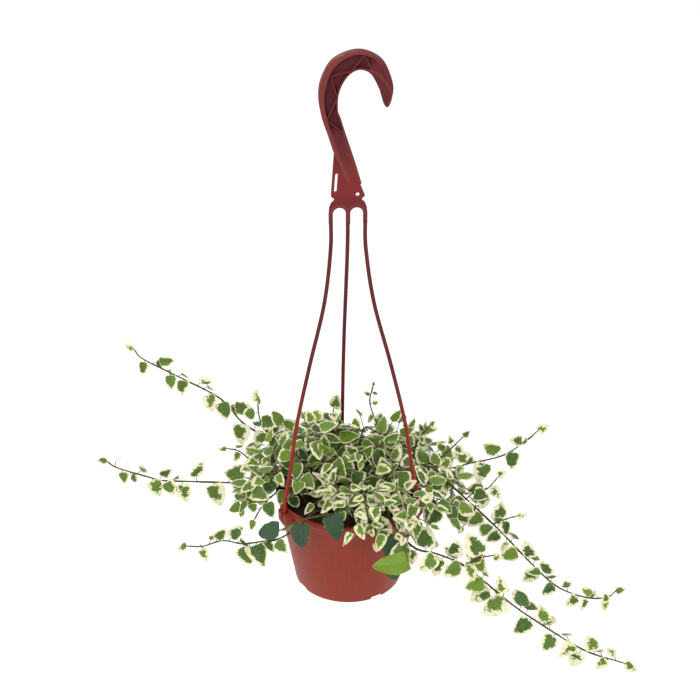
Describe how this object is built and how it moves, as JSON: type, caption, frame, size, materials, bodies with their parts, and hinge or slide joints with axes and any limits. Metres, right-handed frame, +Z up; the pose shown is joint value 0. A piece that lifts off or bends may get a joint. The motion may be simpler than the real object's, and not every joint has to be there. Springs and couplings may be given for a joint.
{
  "type": "potted hanging plant",
  "caption": "Tapered plastic pot on a three-armed hanger with a hook, planted with a mound of small variegated leaves and long trailing runners.",
  "frame": {"origin": "inner top of the hook, the point that the whole plant hangs from", "axes": "+Z up along the hang, the hook's flat side in the XZ plane with its open side towards +X, the front of the plant towards -Y"},
  "size_m": [0.535, 0.3519, 0.5708],
  "materials": {
    "pot": "satin moulded terracotta-coloured plastic",
    "hanger": "satin moulded dark red-brown plastic",
    "soil": "dark loose potting soil, shaded like a rough cloth",
    "variegated_leaf": "soft satin leaves, green with cream margins",
    "green_leaf": "soft satin leaves, plain deep green"
  },
  "bodies": {
    "root": {"crown_stem_01": "variegated_leaf", "crown_stem_02": "variegated_leaf", "crown_stem_03": "variegated_leaf", "crown_stem_04": "variegated_leaf", "crown_stem_05": "variegated_leaf", "crown_stem_06": "variegated_leaf", "front_stem": "variegated_leaf", "green_stem_left": "green_leaf", "green_stem_right": "green_leaf", "hanger": "hanger", "left_stem": "variegated_leaf", "mound_stem_01": "variegated_leaf", "mound_stem_02": "variegated_leaf", "mound_stem_03": "variegated_leaf", "mound_stem_04": "variegated_leaf", "mound_stem_05": "variegated_leaf", "mound_stem_06": "variegated_leaf", "mound_stem_07": "variegated_leaf", "pot": "pot", "runner_front_long": "variegated_leaf", "runner_left_high": "variegated_leaf", "runner_left_level": "variegated_leaf", "runner_left_low": "variegated_leaf", "runner_right_high": "variegated_leaf", "runner_right_long": "variegated_leaf", "soil": "soil", "sprig_left": "variegated_leaf", "sprig_rear": "variegated_leaf", "sprig_rear_left": "variegated_leaf", "sprig_rear_right": "variegated_leaf", "sprig_right": "variegated_leaf", "sprig_right_near": "variegated_leaf", "trailing_stem_01": "variegated_leaf", "trailing_stem_02": "variegated_leaf", "trailing_stem_03": "variegated_leaf", "trailing_stem_04": "variegated_leaf", "trailing_stem_05": "variegated_leaf", "trailing_stem_06": "variegated_leaf", "trailing_stem_07": "variegated_leaf", "trailing_stem_08": "variegated_leaf", "trailing_stem_09": "variegated_leaf", "tuft_left": "variegated_leaf", "tuft_middle": "variegated_leaf", "tuft_right": "variegated_leaf"}
  },
  "joints": []
}
